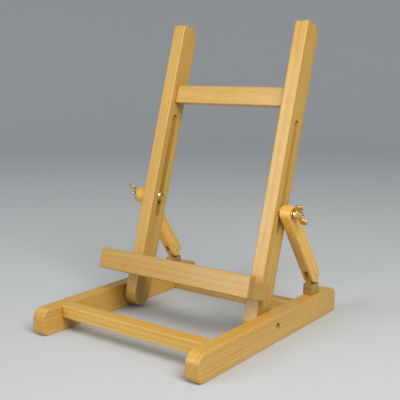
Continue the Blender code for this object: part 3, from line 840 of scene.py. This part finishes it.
# %% [markdown]
# ## The wing nuts
#
# A cast wing nut is soft all over: a round boss that swells into two ears. Boxes and bevels never
# look cast, so this is a case for a coarse cage and Subdivision Surface. The boss is a 12-sided
# drum. From each flank one face is extruded outwards and upwards, and at every step it is scaled
# to the next section of the ear, which opens into a round paddle for the fingers. Subdivision
# draws a cage in by an amount that is hard to guess, so the casting is measured afterwards and
# brought to its size.

# %% The drum of the boss
BOSS_RADIUS = 4.2 * MM
BOSS_TOP = 3.0 * MM
BOSS_HEIGHT = 5.6 * MM
FLANGE = 1.5 * MM


def add_boss():
    let_go()
    bpy.ops.mesh.primitive_cylinder_add(vertices=12, radius=BOSS_RADIUS, depth=BOSS_HEIGHT)
    boss = bpy.context.object
    boss.rotation_euler = (0, 0, pi / 12)
    boss.location = (0, 0, BOSS_HEIGHT / 2)
    settle(boss, "nut")
    edit(boss)
    bpy.ops.mesh.bisect(plane_co=(0, 0, FLANGE), plane_no=(0, 0, 1))
    choose(boss, "verts", lambda vertex: near(vertex.co.z, BOSS_HEIGHT))
    taper = BOSS_TOP / BOSS_RADIUS
    bpy.ops.transform.resize(value=(taper, taper, 1))
    choose(boss, "faces", lambda face: abs(face.normal.z) > 0.9)
    bpy.ops.mesh.inset(thickness=0.5 * MM, use_individual=True)
    leave_edit()
    return boss


# %% Drawing out an ear
EAR_SECTIONS = (
    # from the axis, height of the middle, tall, thick: the first is the flank of the boss
    (3.6 * MM, 3.55 * MM, 4.1 * MM, 1.9 * MM),
    (4.5 * MM, 4.3 * MM, 3.9 * MM, 2.0 * MM),
    (5.4 * MM, 5.9 * MM, 8.4 * MM, 2.3 * MM),
    (8.5 * MM, 6.1 * MM, 8.8 * MM, 2.3 * MM),
    (9.7 * MM, 6.2 * MM, 6.0 * MM, 2.1 * MM),
)


def draw_ear(nut, direction):
    edit(nut)
    choose(
        nut, "faces",
        lambda face: face.normal.x * direction > 0.8 and middle(face).z > FLANGE
        and near(middle(face).y, 0) and middle(face).x * direction > BOSS_TOP / 2,
    )
    across = 0  # the first step also flattens the boss's sloping flank
    for last, new in zip(EAR_SECTIONS, EAR_SECTIONS[1:]):
        step = (direction * (new[0] - last[0]), 0, new[1] - last[1])
        bpy.ops.mesh.extrude_region_move(TRANSFORM_OT_translate={"value": step})
        bpy.ops.transform.resize(value=(across, new[3] / last[3], new[2] / last[2]))
        across = 1
    leave_edit()


# %% The casting, brought to size, bored and set on its bolt
EAR_SPAN = 19.0 * MM
NUT_TURN = radians(45)  # of the ears from the slot's length
nut_low, nut_high = node_box("wing_nut_right", CLAMP)
nut = add_boss()
draw_ear(nut, 1)
draw_ear(nut, -1)
apply_modifier(nut, "SUBSURF", levels=3, render_levels=3)
print("before sizing the casting is", in_mm(nut.dimensions), "mm")
nut.scale = (EAR_SPAN / nut.dimensions.x, 1, (nut_high.x - nut_low.x) / nut.dimensions.z)
settle(nut)
let_go()
bpy.ops.mesh.primitive_cylinder_add(
    vertices=32, radius=BOLT_RADIUS + 0.12 * MM, depth=4 * BOSS_HEIGHT
)
cut(nut, settle(bpy.context.object, "tapped_hole"))
nut.rotation_euler = (0, 0, NUT_TURN)
settle(nut)
lay_outwards(nut)
nut.location = (nut_low.x, 0, 0)
settle(nut)
finish_pair(nut, "butterfly_nut", "nut_{}", "brass", "wing_nut_{}", holder=CLAMP)

# %% [markdown]
# ## Screws and pins
#
# What holds the wood together shows only its head: a pan head deep in each rail, a countersunk
# head behind each upright, and the rounded ends of the struts' pins. So the shanks stay plain,
# and the care goes into the heads, whose crossed recess is cut by two small blocks.

# %% Turning a screw
SHANK = 1.7 * MM
RECESS_ARM = 0.45 * MM  # half the width of an arm of the cross
RECESS_DEPTH = 1.2 * MM
RECESS_TURN = 0.4  # no screw is left with its cross square to the wood


def add_screw(head_radius, head_height, length, sunk):
    """A screw down -Z with its head's top at z = 0: a cone below the head if sunk, else flat."""
    let_go()
    bpy.ops.mesh.primitive_cylinder_add(
        vertices=32, radius=head_radius, depth=head_height, location=(0, 0, -head_height / 2)
    )
    screw = settle(bpy.context.object, "screw")
    edit(screw)
    choose(screw, "faces", lambda face: face.normal.z < -0.9)
    if sunk:
        below = (0, 0, SHANK - head_radius)
        bpy.ops.mesh.extrude_region_move(TRANSFORM_OT_translate={"value": below})
        bpy.ops.transform.resize(value=(SHANK / head_radius, SHANK / head_radius, 1))
    else:
        bpy.ops.mesh.inset(thickness=head_radius - SHANK)
    bpy.ops.mesh.extrude_region_move(TRANSFORM_OT_translate={"value": (0, 0, -length)})
    bpy.ops.mesh.extrude_region_move(TRANSFORM_OT_translate={"value": (0, 0, -2 * SHANK)})
    bpy.ops.transform.resize(value=(0.1, 0.1, 1))
    leave_edit()
    ease(screw, 0.2 * MM, 2, 50)
    arm_length = 0.62 * head_radius
    for turn in (0, pi / 2):
        arm = add_block(
            "arm", (-arm_length, -RECESS_ARM, -RECESS_DEPTH), (arm_length, RECESS_ARM, MM)
        )
        arm.rotation_euler = (0, 0, turn + RECESS_TURN)
        cut(screw, settle(arm))
    return screw


# %% The ledge's screws, sunk from behind
low, high = node_box("ledge_screw_right", EASEL)
screw = add_screw(3.3 * MM, 0.5 * MM, high.y - low.y - 5.5 * MM, sunk=True)
screw.rotation_euler = (-pi / 2, 0, 0)
screw.location = (upright_middle, high.y, shelf_middle)
settle(screw)
finish_pair(screw, "sunk_screw", "easel", "zinc_steel", "ledge_screw_{}", holder=EASEL)

# %% The screws that the uprights turn on
low, high = node_box("pivot_screw_right", EASEL)
screw = add_screw(2.5 * MM, 2.2 * MM, high.x - low.x - 6.0 * MM, sunk=False)
lay_outwards(screw)
screw.location = (high.x, 0, 0)
settle(screw)
finish_pair(screw, "turning_screw", "easel", "zinc_steel", "pivot_screw_{}", holder=EASEL)

# %% The struts' pins
low, high = node_box("strut_pin_right", STRUT)
pin = add_rod("pin", PIN_RADIUS - 0.02 * MM, low.x, high.x, sides=24)
ease(pin, 0.45 * MM, 3, 50)
finish_pair(pin, "round_pin", "strut_{}", "zinc_steel", "strut_pin_{}", holder=STRUT)

# %% [markdown]
# ## The dowels
#
# Six beech dowels lie hidden in the joints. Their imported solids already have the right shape, so
# they stay, and only get the look of bare beech: short flecks, drawn out along the dowel.

# %% Bare beech
def beech(name):
    material, shader, wiring, place = new_material("beech_" + name)
    fleck = wiring.noise(wiring.moved(place, scale=(0.06, 1, 1)), 1800.0, 4.0, 0.6)
    color = wiring.mixed(wiring.span(fleck, 0.3, 0.7), (0.50, 0.33, 0.17), (0.68, 0.50, 0.30))
    wiring.fill(shader["Base Color"], color)
    wiring.fill(shader["Roughness"], wiring.span(fleck, 0.3, 0.7, 0.68, 0.56))
    return material


dowels = [node for name, node in frame["nodes"].items() if "dowel" in name]
for dowel in dowels:
    dowel.data.materials.clear()
    dowel.data.materials.append(beech(dowel.name))
print(len(dowels), "dowels")

# %% [markdown]
# ## The floor
#
# A studio floor is a roll of paper that curves up behind the object, so that no line shows where
# it ends. The stand is looked at from all round, so here the paper curves up all round: a disc
# whose rim is extruded upwards, with the corner between them rounded by a wide bevel.

# %% The paper floor
FLOOR_RADIUS = 2.6
let_go()
bpy.ops.mesh.primitive_circle_add(vertices=96, radius=FLOOR_RADIUS, fill_type="NGON")
floor = bpy.context.object
floor.name = "paper_floor"
edit(floor)
choose(floor, "edges", lambda edge: edge.is_boundary)
bpy.ops.mesh.extrude_region_move(TRANSFORM_OT_translate={"value": (0, 0, 1.6)})
choose(floor, "edges", lambda edge: near(middle(edge).z, 0) and len(edge.link_faces) == 2)
bpy.ops.mesh.bevel(offset=1.2, segments=16, affect="EDGES")
leave_edit()
hold_only(floor)
bpy.ops.object.shade_smooth()
material, shader, wiring, place = new_material("paper")
fibres = wiring.span(wiring.noise(place, 900.0, 2.0), 0.3, 0.7)
wiring.fill(shader["Base Color"], wiring.mixed(fibres, (0.50, 0.52, 0.53), (0.53, 0.55, 0.56)))
shader["Roughness"].default_value = 0.85
floor.data.materials.append(material)
print("the floor is", in_mm(floor.dimensions), "mm")

# %% [markdown]
# ## Light and camera
#
# One large soft light stands high on the right, a softer one further off in front lifts the
# faces that look that way, and an even grey surround fills the rest. Both hang clear of the
# floor, because a light that dips into it draws a hard bright line there. The camera stands well back with
# a long lens, a little above the stand and to the right of it.

# %% Two softboxes and the surround
def add_softbox(name, place, size, power, color):
    bpy.ops.object.light_add(type="AREA", location=place)
    light = bpy.context.object
    light.name = name
    light.data.size = size
    light.data.energy = power
    light.data.color = color
    aim = (cad_box[0] + cad_box[1]) / 2 - Vector(place)
    light.rotation_euler = aim.to_track_quat("-Z", "Y").to_euler()


add_softbox("key_light", (0.72, -0.38, 0.90), 0.7, 12.5, (1.0, 0.97, 0.92))
add_softbox("front_light", (-0.60, -1.55, 0.72), 0.9, 15.0, (0.98, 0.99, 1.0))
world = bpy.data.worlds.new("studio")
bpy.context.scene.world = world
world.use_nodes = True
surround = world.node_tree.nodes["Background"].inputs
surround["Color"].default_value = (0.62, 0.64, 0.66, 1)
surround["Strength"].default_value = 0.64

# %% The camera
CAMERA_ROUND = radians(36.78)  # to the right of straight in front
CAMERA_DOWN = radians(10.14)
bpy.ops.object.camera_add(
    location=(0.36828, -0.48041, 0.21418), rotation=(pi / 2 - CAMERA_DOWN, 0, CAMERA_ROUND)
)
camera = bpy.context.object
camera.name = "camera"
camera.data.lens = 66.35
bpy.context.scene.camera = camera
bpy.context.scene.view_settings.view_transform = "Standard"

# %% The imported model's box, and the end
print("CAD box", [in_mm(corner) for corner in cad_box])
